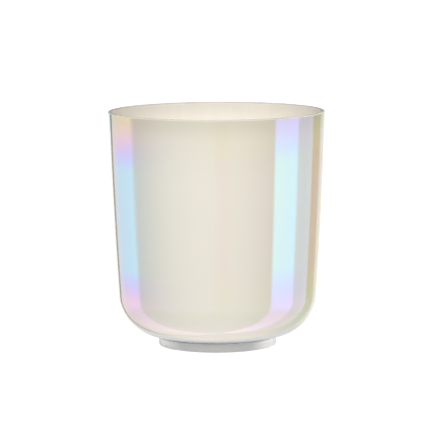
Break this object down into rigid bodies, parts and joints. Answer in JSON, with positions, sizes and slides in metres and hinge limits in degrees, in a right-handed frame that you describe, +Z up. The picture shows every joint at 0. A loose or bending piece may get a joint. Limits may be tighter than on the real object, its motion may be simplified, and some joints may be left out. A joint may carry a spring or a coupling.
{
  "type": "singing bowl",
  "caption": "Tall frosted crystal singing bowl with a pearly iridescent outside, standing on a clear silicone support ring that it lifts off.",
  "frame": {"origin": "on the bowl's axis, in the plane that the support ring stands on", "axes": "+Z up along the bowl's axis, out of the open mouth; +X and +Y are any two level directions, because the whole object is a body of revolution"},
  "size_m": [0.2, 0.1999, 0.2175],
  "materials": {
    "quartz": "opaque warm cream fused quartz, matt frosted inside; outside a bonded, glossy, thin-film coat that reflects pastel pink, lilac, blue, green and gold",
    "silicone": "clear, slightly milky grey silicone with a satin moulded surface"
  },
  "bodies": {
    "ring": {"support_ring": "silicone"},
    "bowl": {"quartz_bowl": "quartz"}
  },
  "joints": [
    {"name": "bowl_lift", "type": "slide", "parent": "ring", "child": "bowl", "axis": [0, 0, 1], "range_m": [0, 0.1]}
  ]
}
